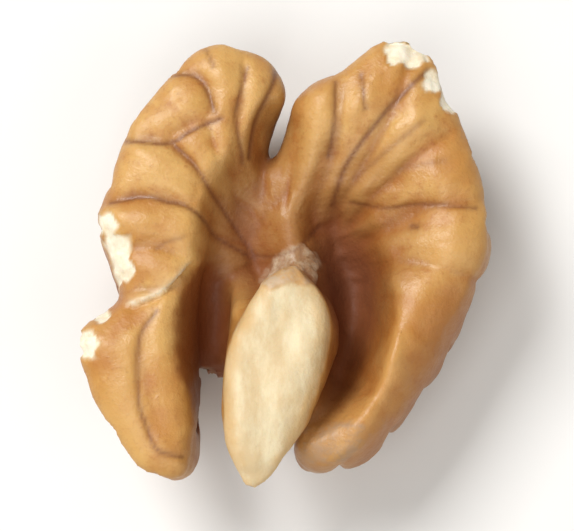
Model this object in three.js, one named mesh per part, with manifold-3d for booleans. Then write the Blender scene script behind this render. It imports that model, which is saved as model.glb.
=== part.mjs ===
// Half of a shelled walnut kernel, lying on its round outer face with the inner face up.
// Millimetres, +Z up. +Y is the blunt end, -Y the end that the tongue points to.
// The body is one implicit surface: negative inside, positive outside, meshed on a grid.

import * as THREE from 'three';
import { mergeVertices } from 'three/addons/utils/BufferGeometryUtils.js';
import Module from 'manifold-3d';

// Driving dimensions
const KERNEL_LENGTH = 30.0;
const LENGTH_IN_PIXELS = 101;
const PIXEL = KERNEL_LENGTH / LENGTH_IN_PIXELS;
const CENTRE_PIXEL = [420, 392.8];
// The photograph looks down at 80 degrees, which shortens lengths along Y
const FORESHORTENING = Math.sin(THREE.MathUtils.degToRad(80));
const DOME = { x: 13.9, y: 14.9, z: 10.4 };
const SHELL_SCALE = 11.5;
const RIM_Z = -2.4;
const FOOT_Z = -12.2;
const CELL = 0.775;
const SOFTENING = 0.08;

// Grid that holds the whole kernel, clear of its surface on every side
const GRID_LOW = [-15.2, -17.0, -14.4];
const GRID_HIGH = [15.2, 17.0, 1.8];

// Outlines in plan, as pixels of the photograph
const LEFT_LOBE = [
  [412, 384], [413.4, 373], [415.8, 361.5], [419.0, 353], [416, 346], [405.6, 341.5], [397, 344.6],
  [390, 353.5], [384.4, 360], [381.2, 371], [377.6, 382], [380.8, 392.5], [382.4, 400.5], [373.2, 408.5],
  [376.6, 419.5], [382, 429.5], [390.5, 440.8], [398.5, 439], [401.2, 430], [402, 419], [406, 408],
  [412, 398],
];
const RIGHT_LOBE = [
  [414, 386], [416.8, 374], [420.8, 363], [425.2, 354], [434, 349.4], [444, 341.6], [452.6, 345],
  [458.5, 358], [463.5, 371.5], [466.8, 384], [465, 394], [461.2, 403], [457.8, 415], [450, 427],
  [440, 437.2], [429.7, 441.2], [422.5, 437], [424, 426], [424, 412], [420, 400],
];
const BRIDGE = [
  [404, 372], [410, 369.5], [416, 368], [421, 370], [430, 378], [434, 392], [432, 404], [424, 413],
  [412, 416], [404.5, 413], [402.5, 402], [402.5, 388],
];
const TONGUE = [
  [421, 392.5], [414.6, 396.6], [409.6, 404], [406.4, 411.5], [405.2, 421], [405.8, 430.5], [407.3, 439.4],
  [411.5, 445], [416.6, 442.4], [423.2, 432.8], [427.6, 421], [430.7, 409.5], [429.4, 401.5], [426, 396],
];

// Centre lines of the folds of the inner face, as pixels. A furrow lies midway between two of them.
const INNER_FOLDS = [
  // left lobe, from the notch round to the lower end
  [[417.5, 372], [418.5, 363], [421.5, 350], [423, 340]],
  [[409.5, 376], [411.5, 363], [414.5, 350], [416, 338]],
  [[404.5, 376], [406.8, 363], [406, 350], [403, 338]],
  [[399, 355.5], [391, 357.5], [378, 352]],
  [[397, 373], [390, 371], [372, 370]],
  [[400, 365.5], [403.2, 370], [407, 377]],
  [[402, 391], [397, 387.5], [389.5, 384], [370, 386]],
  [[399, 396.5], [390, 394], [374, 396]],
  [[387.5, 403.5], [382, 410], [383.5, 420], [387.5, 430], [393, 438], [396, 446]],
  [[393.5, 403], [392.8, 412], [393.5, 422], [396.5, 431]],
  // right lobe, a fan from the notch round to the lower end
  [[421, 384], [425.5, 372], [427, 362], [427, 345]],
  [[429, 379], [435.5, 367], [438.5, 356], [440, 338]],
  [[434, 379], [443, 368.5], [450, 360], [460, 345]],
  [[438, 382], [447, 375], [457, 371], [472, 366]],
  [[442, 387], [450, 386], [460, 387.5], [474, 389]],
  [[445, 397], [452, 400], [461, 404], [472, 410]],
  [[442, 413], [448, 418], [456, 426], [462, 432]],
  [[433, 427], [437, 434], [440, 444]],
];

// Valleys of the inner face: x and y as pixels, then depth and half width in millimetres
const VALLEYS = [
  // hollow to the right of the tongue
  [[431, 383, 5.8, 3.6], [434.5, 393, 7.6, 3.5], [435.5, 404, 7.8, 3.3], [433.5, 416, 5.8, 3.1],
    [429.5, 427, 2.8, 2.7], [425.5, 436, 1.4, 2.2]],
  // saddle from the notch down to the middle
  [[418, 362, 3.0, 2.4], [415.5, 371, 3.6, 3.2], [412.5, 381, 4.6, 4.4], [413.5, 391, 5.6, 4.6]],
];

// Cleft to the left of the tongue: x and y as pixels, then depth and half width at the top in millimetres
const CLEFT = [
  [407.5, 380, 3.0, 1.4], [404.8, 390, 5.0, 2.0], [403.8, 402, 6.6, 2.3], [403.6, 411, 7.8, 2.3],
  [403.4, 418.5, 13.0, 2.2], [403.6, 446, 14.5, 2.0],
];
const CLEFT_WALL = { foot: 0.36, flare: 2.2, round: 1.2 };
const BOWL = { x: 431.5, y: 385.5, depth: 5.8, radius: 9.6, power: 1.25 };

// Centre lines of the rolls of the outer face: azimuth in degrees, then share of the dome's radius
const OUTER_FOLDS = [
  // rolls that come down from the rim of the left lobe
  [[97, 0.98], [99, 0.8], [104, 0.62]],
  [[112, 1.0], [118, 0.85], [112, 0.62], [122, 0.42]],
  [[128, 1.0], [136, 0.84], [146, 0.66]],
  [[146, 1.0], [153, 0.86]],
  [[163, 1.0], [165, 0.8], [158, 0.6], [166, 0.4]],
  [[179, 1.0], [183, 0.86], [180, 0.68]],
  [[196, 1.0], [199, 0.82], [196, 0.58], [208, 0.38]],
  [[214, 1.0], [216, 0.84], [219, 0.62]],
  [[231, 1.0], [232, 0.8], [240, 0.58], [236, 0.42]],
  [[248, 1.0], [249, 0.84], [252, 0.68]],
  // rolls beside the midline, left
  [[100, 0.42], [120, 0.24], [170, 0.16]],
  [[205, 0.2], [232, 0.26], [250, 0.48]],
  // rolls that come down from the rim of the right lobe
  [[84, 0.98], [82, 0.8], [78, 0.6], [72, 0.42]],
  [[68, 1.0], [64, 0.84], [58, 0.66]],
  [[52, 1.0], [48, 0.85], [40, 0.7], [46, 0.48]],
  [[36, 1.0], [32, 0.86]],
  [[20, 1.0], [17, 0.84], [22, 0.64], [12, 0.42]],
  [[3, 1.0], [0, 0.8], [-6, 0.62]],
  [[-14, 1.0], [-17, 0.84], [-25, 0.66], [-16, 0.44]],
  [[-31, 1.0], [-35, 0.84]],
  [[-47, 1.0], [-46, 0.82], [-52, 0.6], [-44, 0.42]],
  [[-64, 1.0], [-66, 0.82], [-72, 0.62]],
  [[-80, 1.0], [-82, 0.82]],
  // rolls beside the midline, right
  [[78, 0.22], [30, 0.2], [-10, 0.2]],
  [[-58, 0.22], [-76, 0.42]],
];

// Relief, in millimetres unless named otherwise
const BRIDGE_BLEND = 1.2;
const SHOULDER = { drop: 1.0, extraDrop: 2.6, width: 3.2, extraWidth: 1.2, power: 1.8, most: 1.2 };
const OPEN_SIDE = { azimuth: -38, spread: 42 };
const FURROW = { depth: 1.05, width: 1.6, power: 1.5, calm: 0.7, lowCalm: 0.5, rimNick: 0.05, rimSwell: 0.25 };
const RIM_FADE = { share: 0.8, start: -0.3, end: -1.8 };
const LOW_BLOCK = { right: -5.0, top: -3.0, fade: 1.5 };
const ROLL = {
  base: 1.6, low: 1.2, high: 2.8, growth: 0.65, crease: 0.22, softness: 0.6, lump: 0.45, wander: 0.7,
};
const RIM_CALM = { height: 2.2, share: 0.55, openShare: 0.4, reach: 3.5 };
const RIM_CURL = { reach: 2.4, most: 1.5, inward: 0.9, domeRise: 6, start: 0.5, end: 2.0 };
const MIDLINE = { x: -1.4, wave: 0.5, depth: 1.6, width: 0.9, top: -6, bottom: -9 };
const EDGE_ROUND = { outer: 1.6, inner: 1.3, tongue: 0.6, valley: 1.0, bowl: 2.4 };
const TONGUE_SHAPE = {
  top: 0.1, crown: 0.8, crownWidth: 1.3, lump: 0.2, droop: 1.2, keel: -7.0, tipKeel: -2.4, edge: 1.1,
};
const TONGUE_SIDE = { inset: 0.3, flare: 0.08, extraFlare: 0.04, width: 3.0 };
const TONGUE_AXIS = { x: 0.43, lean: 0.208, root: -1, length: 14 };

const clamp = THREE.MathUtils.clamp;

// Eases from 0 at from to 1 at to; from may be the higher of the two
function ease(from, to, value) {
  const t = clamp((value - from) / (to - from), 0, 1);
  return t * t * (3 - 2 * t);
}

// The lesser of two distances, with the crease between them rounded over a reach of blend
function smoothMin(a, b, blend) {
  const near = Math.max(blend - Math.abs(a - b), 0) / blend;
  return Math.min(a, b) - near * near * blend / 4;
}

function smoothMax(a, b, blend) {
  return -smoothMin(-a, -b, blend);
}

function fromPixels([x, y, ...rest]) {
  return [(x - CENTRE_PIXEL[0]) * PIXEL, (CENTRE_PIXEL[1] - y) * PIXEL / FORESHORTENING, ...rest];
}

// Catmull-Rom curve through points of any number of coordinates
function smoothLine(points, steps, closed = false) {
  const count = points.length;
  const at = (i) => {
    if (closed) return points[(i + count) % count];
    if (i < 0) return points[0].map((v, k) => 2 * v - points[1][k]);
    if (i >= count) return points[count - 1].map((v, k) => 2 * v - points[count - 2][k]);
    return points[i];
  };
  const line = [];
  for (let i = 0; i < (closed ? count : count - 1); i++) {
    const [a, b, c, d] = [at(i - 1), at(i), at(i + 1), at(i + 2)];
    for (let s = 0; s < steps; s++) {
      const t = s / steps;
      line.push(b.map((v, k) => 0.5 * (2 * v + (c[k] - a[k]) * t
        + (2 * a[k] - 5 * v + 4 * c[k] - d[k]) * t * t
        + (3 * v - a[k] - 3 * c[k] + d[k]) * t * t * t)));
    }
  }
  if (!closed) line.push(points[count - 1]);
  return line;
}

// Nearest place on the segment a-b, measured over the coordinates of point
function nearestOnSegment(point, a, b) {
  let along = 0;
  let length2 = 0;
  for (let k = 0; k < point.length; k++) {
    along += (point[k] - a[k]) * (b[k] - a[k]);
    length2 += (b[k] - a[k]) ** 2;
  }
  const t = clamp(along / Math.max(length2, 1e-12), 0, 1);
  let gap2 = 0;
  for (let k = 0; k < point.length; k++) {
    gap2 += (point[k] - a[k] - t * (b[k] - a[k])) ** 2;
  }
  return { distance: Math.sqrt(gap2), t };
}

function lineDistance(point, line) {
  let best = Infinity;
  for (let i = 1; i < line.length; i++) {
    best = Math.min(best, nearestOnSegment(point, line[i - 1], line[i]).distance);
  }
  return best;
}

// Distance to a closed outline in plan, negative inside
function outlineDistance([x, y], outline) {
  const inside = outline.reduce((odd, a, i) => {
    const b = outline[(i + 1) % outline.length];
    const crosses = (a[1] > y) !== (b[1] > y) && x < (b[0] - a[0]) * (y - a[1]) / (b[1] - a[1]) + a[0];
    return crosses ? !odd : odd;
  }, false);
  const distance = lineDistance([x, y], [...outline, outline[0]]);
  return inside ? -distance : distance;
}

// Distances to the nearest and the second nearest of several lines
function twoNearest(point, lines) {
  let first = Infinity;
  let second = Infinity;
  for (const line of lines) {
    const distance = lineDistance(point, line);
    second = Math.min(second, Math.max(first, distance));
    first = Math.min(first, distance);
  }
  return [first, second];
}

// Point of the outer dome below the rim
function onDome([azimuth, share]) {
  const angle = THREE.MathUtils.degToRad(azimuth);
  return [
    DOME.x * share * Math.cos(angle),
    DOME.y * share * Math.sin(angle),
    RIM_Z - DOME.z * Math.sqrt(1 - share * share),
  ];
}

const outlines = [LEFT_LOBE, RIGHT_LOBE, BRIDGE, TONGUE]
  .map((points) => smoothLine(points.map(fromPixels), 5, true));
const innerFolds = INNER_FOLDS.map((points) => smoothLine(points.map(fromPixels), 4));
const valleys = VALLEYS.map((points) => smoothLine(points.map(fromPixels), 5));
const outerFolds = OUTER_FOLDS.map((points) => smoothLine(points.map(onDome), 4));
const cleft = smoothLine(CLEFT.map(fromPixels), 5);
const bowlCentre = fromPixels([BOWL.x, BOWL.y]);

// Nearest place on a line that carries a depth and a half width at each point
function acrossValley(place, line) {
  let nearest = { distance: Infinity };
  for (let i = 1; i < line.length; i++) {
    const { distance, t } = nearestOnSegment(place, line[i - 1], line[i]);
    if (distance >= nearest.distance) continue;
    const depth = THREE.MathUtils.lerp(line[i - 1][2], line[i][2], t);
    const halfWidth = THREE.MathUtils.lerp(line[i - 1][3], line[i][3], t);
    nearest = { distance, depth, halfWidth };
  }
  return nearest;
}

// Depth of one valley at a place in plan
function valleyDepth(place, line) {
  const { distance, depth, halfWidth } = acrossValley(place, line);
  const across = Math.min(distance / halfWidth, 1);
  return depth * (1 - across * across) ** 1.5;
}

// How much a place belongs to the open lower side of the right lobe
function openSide(x, y) {
  const azimuth = THREE.MathUtils.radToDeg(Math.atan2(y, x));
  return Math.exp(-(((azimuth - OPEN_SIDE.azimuth) / OPEN_SIDE.spread) ** 2));
}

// Distances to the outlines, furrow strength and height of the inner face at a place in plan
function faceAt(x, y) {
  const place = [x, y];
  const [left, right, bridge, tongue] = outlines.map((outline) => outlineDistance(place, outline));
  const lobes = smoothMin(Math.min(left, right), bridge, BRIDGE_BLEND);
  const open = openSide(x, y);
  let depth = 0;
  for (const valley of valleys) {
    depth = smoothMax(depth, valleyDepth(place, valley), EDGE_ROUND.valley);
  }
  const fromBowl = Math.min(Math.hypot(x - bowlCentre[0], y - bowlCentre[1]) / BOWL.radius, 1);
  depth = smoothMax(depth, BOWL.depth * (1 - fromBowl) ** BOWL.power, EDGE_ROUND.bowl);
  const rimward = clamp(1 + lobes / (SHOULDER.width + SHOULDER.extraWidth * open), 0, SHOULDER.most);
  const shoulder = (SHOULDER.drop + SHOULDER.extraDrop * open) * rimward ** SHOULDER.power;
  const [first, second] = twoNearest(place, innerFolds);
  const towardsRim = RIM_FADE.share * ease(RIM_FADE.end, RIM_FADE.start, lobes);
  const furrow = Math.exp(-(((second - first) / FURROW.width) ** FURROW.power)) * (1 - towardsRim);
  const low = ease(LOW_BLOCK.top + LOW_BLOCK.fade, LOW_BLOCK.top, y)
    * ease(LOW_BLOCK.right + LOW_BLOCK.fade, LOW_BLOCK.right, x);
  const top = -depth - shoulder - FURROW.depth * (1 - FURROW.calm * open - FURROW.lowCalm * low) * furrow;
  return { lobes, tongue, furrow, top };
}

// What depends on the plan alone; stretch is how much the face's slope lengthens a step across it
function planAt(x, y) {
  const face = faceAt(x, y);
  const span = 0.1;
  const slopeX = (faceAt(x + span, y).top - faceAt(x - span, y).top) / (2 * span);
  const slopeY = (faceAt(x, y + span).top - faceAt(x, y - span).top) / (2 * span);
  return { ...face, stretch: Math.hypot(1, slopeX, slopeY), cleft: acrossValley([x, y], cleft) };
}

// Height of the rolls over the bottoms of the creases between them; the creases run out towards the rim
function rollHeight(x, y, z) {
  const point = [
    x + ROLL.wander * Math.sin(0.55 * y + 0.6 * z),
    y + ROLL.wander * Math.sin(0.6 * z + 0.5 * x + 1.0),
    z + ROLL.wander * Math.sin(0.6 * x - 0.5 * y + 2.0),
  ];
  const [first, second] = twoNearest(point, outerFolds).map((d) => Math.hypot(d, ROLL.softness));
  const crown = clamp(ROLL.growth * (first + second), ROLL.low, ROLL.high);
  const lump = ROLL.lump * Math.sin(x + 0.8) * Math.sin(0.95 * y) * Math.sin(z);
  const rise = Math.hypot(1 - first / second, ROLL.crease) - ROLL.crease;
  const height = crown * Math.sin(Math.min(1.25 * rise, 1) * Math.PI / 2) + lump;
  const rimward = ease(RIM_Z - RIM_CALM.reach, RIM_Z, z);
  const calm = (RIM_CALM.share + RIM_CALM.openShare * openSide(x, y)) * rimward;
  return THREE.MathUtils.lerp(height, RIM_CALM.height, calm);
}

// How deep a point lies inside the open cleft, which narrows downwards to its floor
function cleftAt({ distance, depth, halfWidth }, z) {
  const flare = Math.exp(Math.min(z, 0) / CLEFT_WALL.flare);
  const width = halfWidth * (CLEFT_WALL.foot + (1 - CLEFT_WALL.foot) * flare);
  return smoothMin(width - distance, z + depth, CLEFT_WALL.round);
}

// The two lobes and what joins them
function lobesAt(plan, x, y, z) {
  const reach = Math.hypot(x / DOME.x, y / DOME.y, (z - RIM_Z) / DOME.z);
  const shell = (reach - 1) * SHELL_SCALE;
  const overRim = clamp((z - RIM_Z) / RIM_CURL.reach, 0, RIM_CURL.most);
  const wall = plan.lobes + RIM_CURL.inward * overRim ** 2 - FURROW.rimSwell + FURROW.rimNick * plan.furrow;
  const aboveRim = RIM_CURL.domeRise * ease(RIM_Z - RIM_CURL.start, RIM_Z + RIM_CURL.end, z);
  const dome = shell + ROLL.base - rollHeight(x, y, z) - aboveRim;
  const midline = Math.abs(x - MIDLINE.x - MIDLINE.wave * Math.sin(0.45 * y));
  const groove = MIDLINE.depth * Math.exp(-midline / MIDLINE.width) * ease(MIDLINE.top, MIDLINE.bottom, z);
  const outside = smoothMax(dome, wall, EDGE_ROUND.outer) + groove;
  const faced = smoothMax(outside, (z - plan.top) / plan.stretch, EDGE_ROUND.inner);
  return smoothMax(faced, cleftAt(plan.cleft, z), CLEFT_WALL.round);
}

// The pale tongue that stands up between the lobes, thinner and lower towards its tip, wider towards its foot
function tongueAt(plan, x, y, z) {
  const along = clamp((TONGUE_AXIS.root - y) / TONGUE_AXIS.length, 0, 1);
  const side = clamp((x - TONGUE_AXIS.x - TONGUE_AXIS.lean * y) / TONGUE_SIDE.width, -1, 1);
  const flare = TONGUE_SIDE.flare + TONGUE_SIDE.extraFlare * side;
  const crown = TONGUE_SHAPE.crown * Math.exp(plan.tongue / TONGUE_SHAPE.crownWidth);
  const lump = TONGUE_SHAPE.lump * Math.sin(0.9 * x + 0.5) * Math.sin(0.7 * y);
  const top = TONGUE_SHAPE.top - crown + lump - TONGUE_SHAPE.droop * along ** 3;
  const keel = THREE.MathUtils.lerp(TONGUE_SHAPE.keel, TONGUE_SHAPE.tipKeel, ease(0.1, 0.9, along));
  const wall = plan.tongue + TONGUE_SIDE.inset + flare * Math.min(z, 0);
  const upper = smoothMax(wall, z - top, TONGUE_SHAPE.edge);
  return smoothMax(upper, keel - z, EDGE_ROUND.outer);
}

function kernelAt(plan, x, y, z) {
  return smoothMin(lobesAt(plan, x, y, z), tongueAt(plan, x, y, z), EDGE_ROUND.tongue);
}

// Values of the kernel at the points of a grid
class Grid {
  constructor(low, high, cell) {
    this.low = low;
    this.cell = cell;
    this.size = low.map((start, axis) => Math.ceil((high[axis] - start) / cell) + 1);
    this.values = new Float64Array(this.size[0] * this.size[1] * this.size[2]);
    for (let i = 0; i < this.size[0]; i++) {
      for (let j = 0; j < this.size[1]; j++) {
        const [x, y] = this.place([i, j, 0]);
        const plan = planAt(x, y);
        for (let k = 0; k < this.size[2]; k++) {
          this.values[this.index([i, j, k])] = kernelAt(plan, x, y, low[2] + k * cell);
        }
      }
    }
  }

  index([i, j, k]) {
    return (i * this.size[1] + j) * this.size[2] + k;
  }

  place(point) {
    return point.map((step, axis) => this.low[axis] + step * this.cell);
  }

  // Calls visit with the lowest corner of each cell
  eachCell(visit) {
    for (let i = 0; i < this.size[0] - 1; i++) {
      for (let j = 0; j < this.size[1] - 1; j++) {
        for (let k = 0; k < this.size[2] - 1; k++) {
          visit([i, j, k]);
        }
      }
    }
  }
}

// Shares each grid value with its neighbours, so creases finer than a cell leave no ragged edge
function soften(grid, share) {
  for (const axis of [0, 1, 2]) {
    const before = Float64Array.from(grid.values);
    const next = [0, 0, 0];
    next[axis] = 1;
    const stride = grid.index(next);
    grid.eachCell((cell) => {
      if (cell[axis] === 0) return;
      const at = grid.index(cell);
      grid.values[at] = (1 - 2 * share) * before[at] + share * (before[at - stride] + before[at + stride]);
    });
  }
}

// A cell's corners, its faces as rings of corners, and its pairs of opposite corners
const CORNERS = [[0, 0, 0], [1, 0, 0], [1, 1, 0], [0, 1, 0], [0, 0, 1], [1, 0, 1], [1, 1, 1], [0, 1, 1]];
const FACES = [[0, 1, 2, 3], [4, 5, 6, 7], [0, 1, 5, 4], [1, 2, 6, 5], [2, 3, 7, 6], [3, 0, 4, 7]];
const OPPOSITES = [[0, 6], [1, 7], [2, 4], [3, 5]];
const EDGES = [
  [0, 1], [1, 2], [2, 3], [3, 0], [4, 5], [5, 6], [6, 7], [7, 4], [0, 4], [1, 5], [2, 6], [3, 7],
];

const plus = (a, b) => a.map((v, k) => v + b[k]);

// Fills grid points until no cell holds two separate sheets of the surface, so the mesh has no pinched edge
function fillPinches(grid) {
  const filled = -0.02 * grid.cell;
  let changed = true;
  const fillLeast = (points) => {
    const outside = points.filter((p) => grid.values[p] >= 0);
    const least = outside.reduce((a, b) => (grid.values[a] < grid.values[b] ? a : b));
    grid.values[least] = filled;
    changed = true;
  };
  const alike = (a, b) => (grid.values[a] < 0) === (grid.values[b] < 0);
  while (changed) {
    changed = false;
    grid.eachCell((cell) => {
      const points = CORNERS.map((corner) => grid.index(plus(cell, corner)));
      const insideCount = points.filter((p) => grid.values[p] < 0).length;
      if (insideCount === 0 || insideCount === 8) return;
      for (const face of FACES) {
        const [a, b, c, d] = face.map((corner) => points[corner]);
        if (alike(a, c) && alike(b, d) && !alike(a, b)) fillLeast([a, b, c, d]);
      }
      for (const [near, far] of OPPOSITES) {
        const lone = points.filter((p, corner) => alike(p, points[near]) && corner !== near);
        if (lone.length === 1 && lone[0] === points[far]) fillLeast(points);
      }
    });
  }
}

// Surface net: one vertex in each cell that the surface crosses, one quad for each crossed grid edge
function surfaceNet(grid) {
  const vertexOfCell = new Map();
  const vertices = [];
  grid.eachCell((cell) => {
    const crossings = [];
    for (const [a, b] of EDGES) {
      const valueA = grid.values[grid.index(plus(cell, CORNERS[a]))];
      const valueB = grid.values[grid.index(plus(cell, CORNERS[b]))];
      if ((valueA < 0) === (valueB < 0)) continue;
      const t = valueA / (valueA - valueB);
      crossings.push(CORNERS[a].map((v, k) => v + t * (CORNERS[b][k] - v)));
    }
    if (crossings.length === 0) return;
    const middle = [0, 1, 2].map((k) => crossings.reduce((sum, c) => sum + c[k], 0) / crossings.length);
    vertexOfCell.set(grid.index(cell), vertices.length);
    vertices.push(grid.place(plus(cell, middle)));
  });

  const distance = (a, b) => Math.hypot(...vertices[a].map((v, k) => v - vertices[b][k]));
  const triangles = [];
  grid.eachCell((cell) => {
    for (const axis of [0, 1, 2]) {
      const next = [0, 0, 0];
      next[axis] = 1;
      const startsInside = grid.values[grid.index(cell)] < 0;
      const endsInside = grid.values[grid.index(plus(cell, next))] < 0;
      if (startsInside === endsInside) continue;
      const ring = [[1, 1], [0, 1], [0, 0], [1, 0]].map(([back, side]) => {
        const neighbour = [...cell];
        neighbour[(axis + 1) % 3] -= back;
        neighbour[(axis + 2) % 3] -= side;
        return vertexOfCell.get(grid.index(neighbour));
      });
      if (endsInside) ring.reverse();
      const [a, b, c, d] = ring;
      if (distance(a, c) <= distance(b, d)) {
        triangles.push([a, b, c], [a, c, d]);
      } else {
        triangles.push([b, c, d], [b, d, a]);
      }
    }
  });
  return { vertices, triangles };
}

const wasm = await Module();
wasm.setup();

function solidFromLists(vertexList, triangleList) {
  const vertProperties = new Float32Array(vertexList.flat());
  const triVerts = new Uint32Array(triangleList.flat());
  return new wasm.Manifold(new wasm.Mesh({ numProp: 3, vertProperties, triVerts }));
}

function solidFromGeometry(source) {
  source.deleteAttribute('normal');
  source.deleteAttribute('uv');
  const merged = mergeVertices(source);
  const vertProperties = new Float32Array(merged.attributes.position.array);
  const triVerts = new Uint32Array(merged.index.array);
  return new wasm.Manifold(new wasm.Mesh({ numProp: 3, vertProperties, triVerts }));
}

function geometryFromSolid(solid) {
  const { vertProperties, triVerts } = solid.getMesh();
  const geometry = new THREE.BufferGeometry();
  geometry.setAttribute('position', new THREE.BufferAttribute(vertProperties, 3));
  geometry.setIndex(new THREE.BufferAttribute(triVerts, 1));
  return geometry;
}

// The kernel, with its lowest rolls worn flat where it rests; the origin is below the middle of its box
function makeKernel() {
  const grid = new Grid(GRID_LOW, GRID_HIGH, CELL);
  soften(grid, SOFTENING);
  fillPinches(grid);
  const { vertices, triangles } = surfaceNet(grid);
  const whole = solidFromLists(vertices, triangles);
  const below = new THREE.BoxGeometry(60, 60, 20);
  below.translate(0, 0, FOOT_Z - 10);
  const geometry = geometryFromSolid(whole.subtract(solidFromGeometry(below)));
  geometry.computeBoundingBox();
  const middle = geometry.boundingBox.getCenter(new THREE.Vector3());
  geometry.translate(-middle.x, -middle.y, -FOOT_Z);
  geometry.computeVertexNormals();
  return geometry;
}

const skin = new THREE.MeshStandardMaterial({ color: '#c08d58', roughness: 0.5, metalness: 0 });

const kernel = new THREE.Mesh(makeKernel(), skin);
kernel.name = 'walnut_kernel';

const model = new THREE.Group();
model.name = 'walnut_kernel_half';
model.add(kernel);

export default model;
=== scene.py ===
# Half of a shelled walnut kernel, inner face up, on a plain pale floor.
# The kernel is one implicit surface in millimetres, negative inside, meshed finely and then turned to metres.

import math

import bpy
import numpy as np
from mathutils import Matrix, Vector


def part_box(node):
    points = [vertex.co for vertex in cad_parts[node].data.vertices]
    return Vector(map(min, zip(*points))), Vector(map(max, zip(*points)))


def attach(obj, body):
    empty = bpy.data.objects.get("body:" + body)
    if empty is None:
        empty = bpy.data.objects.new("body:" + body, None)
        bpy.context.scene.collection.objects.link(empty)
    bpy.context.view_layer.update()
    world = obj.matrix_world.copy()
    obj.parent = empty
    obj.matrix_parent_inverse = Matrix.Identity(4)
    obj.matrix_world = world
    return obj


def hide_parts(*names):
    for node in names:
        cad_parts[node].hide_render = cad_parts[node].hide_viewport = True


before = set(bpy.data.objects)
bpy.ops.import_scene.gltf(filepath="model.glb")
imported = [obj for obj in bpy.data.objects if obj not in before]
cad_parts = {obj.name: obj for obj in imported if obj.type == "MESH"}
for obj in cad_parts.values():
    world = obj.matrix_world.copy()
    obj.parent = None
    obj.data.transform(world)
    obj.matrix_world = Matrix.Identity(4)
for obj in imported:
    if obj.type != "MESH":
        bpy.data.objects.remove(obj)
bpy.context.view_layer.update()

# Driving dimensions, in millimetres
KERNEL_LENGTH = 30.0
LENGTH_IN_PIXELS = 101
PIXEL = KERNEL_LENGTH / LENGTH_IN_PIXELS
CENTRE_PIXEL = (420, 392.8)
# The photograph looks down at 80 degrees, which shortens lengths along Y
FORESHORTENING = math.sin(math.radians(80))
DOME = (13.9, 14.9, 10.4)
SHELL_SCALE = 11.5
RIM_Z = -2.4
FOOT_Z = -12.2
FOOT_ROUND = 0.25
CELL = 0.212
MM = 0.001

# Steps of a smooth curve from one of its points to the next
CURVE_STEPS = 5
FOLD_STEPS = 4
FLAKE_STEPS = 6

# Grid that holds the whole kernel, clear of its surface on every side
GRID_LOW = (-15.2, -17.0, -14.4)
GRID_HIGH = (15.2, 17.0, 1.8)

# Outlines in plan, as pixels of the photograph
LEFT_LOBE = [
    (412, 384), (413.4, 373), (415.8, 361.5), (419.0, 353), (416, 346), (405.6, 341.5), (397, 344.6),
    (390, 353.5), (384.4, 360), (381.2, 371), (377.6, 382), (380.8, 392.5), (382.4, 400.5), (372.8, 408.5),
    (375.2, 419.5), (380.2, 430), (388.5, 440.4), (398.5, 440), (402.2, 431), (402.4, 419), (406, 408),
    (412, 398),
]
RIGHT_LOBE = [
    (414, 386), (416.4, 374), (419.6, 363), (424.2, 353), (433.4, 347.8), (444, 339.8), (452.6, 343),
    (459, 356), (464.2, 369.5), (467.8, 382), (467, 392), (463, 401), (458, 413), (449.8, 425),
    (440.5, 434.6), (430.5, 438), (423, 434.5), (424, 425), (424, 412), (420, 400),
]
BRIDGE = [
    (404, 372), (410, 369.5), (416, 368), (421, 370), (430, 378), (434, 392), (432, 404), (424, 413),
    (412, 416), (404.5, 413), (402.5, 402), (402.5, 388),
]
TONGUE = [
    (421, 392.5), (414.6, 396.6), (409.6, 404), (406.2, 411.5), (405.0, 421), (405.0, 430.5), (406, 438.6),
    (408, 445.4), (414.6, 447), (419.4, 441.4), (423.8, 432.4), (427.8, 421), (430.9, 409.5),
    (429.8, 401.5), (426, 396),
]

# Centre lines of the folds of the inner face, as pixels. A furrow lies midway between two of them.
INNER_FOLDS = [
    # left lobe, from the notch round to the lower end
    [(417.5, 372), (418.5, 363), (421.5, 350), (423, 340)],
    [(409.5, 376), (411.5, 363), (414.5, 350), (416, 338)],
    [(404.5, 376), (406.8, 363), (406, 350), (403, 338)],
    [(399, 355.5), (391, 357.5), (378, 352)],
    [(397, 373), (390, 371), (372, 370)],
    [(400, 365.5), (403.2, 370), (407, 377)],
    [(402, 391), (397, 387.5), (389.5, 384), (370, 386)],
    [(399, 396.5), (390, 394), (374, 396)],
    [(387.5, 403.5), (382, 410), (383.5, 420), (387.5, 430), (393, 438), (396, 446)],
    [(393.5, 403), (392.8, 412), (393.5, 422), (396.5, 431)],
    # right lobe, a fan from the notch round to the lower end
    [(421, 384), (425.5, 372), (427, 362), (427, 345)],
    [(429, 379), (435.5, 367), (438.5, 356), (440, 338)],
    [(434, 379), (443, 368.5), (450, 360), (460, 345)],
    [(438, 382), (447, 375), (457, 371), (472, 366)],
    [(442, 387), (450, 386), (460, 387.5), (474, 389)],
    [(445, 397), (452, 400), (461, 404), (472, 410)],
    [(442, 413), (448, 418), (456, 426), (462, 432)],
    [(433, 427), (437, 434), (440, 444)],
]

# Valleys of the inner face: x and y as pixels, then depth and half width in millimetres
VALLEYS = [
    # hollow to the right of the tongue
    [(431, 383, 5.8, 3.6), (434.5, 393, 7.6, 3.5), (435.5, 404, 7.8, 3.3), (433.5, 416, 5.8, 3.1),
     (429.5, 427, 2.8, 2.7), (425.5, 436, 1.4, 2.2)],
    # saddle from the notch down to the middle
    [(418, 362, 3.0, 2.4), (415.5, 371, 3.6, 3.2), (412.5, 381, 4.6, 4.4), (413.5, 391, 5.6, 4.6)],
]
VALLEY_POWER = 1.5
BOWL = {"place": (431.5, 385.5), "depth": 5.8, "radius": 9.6, "power": 1.25}

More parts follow.
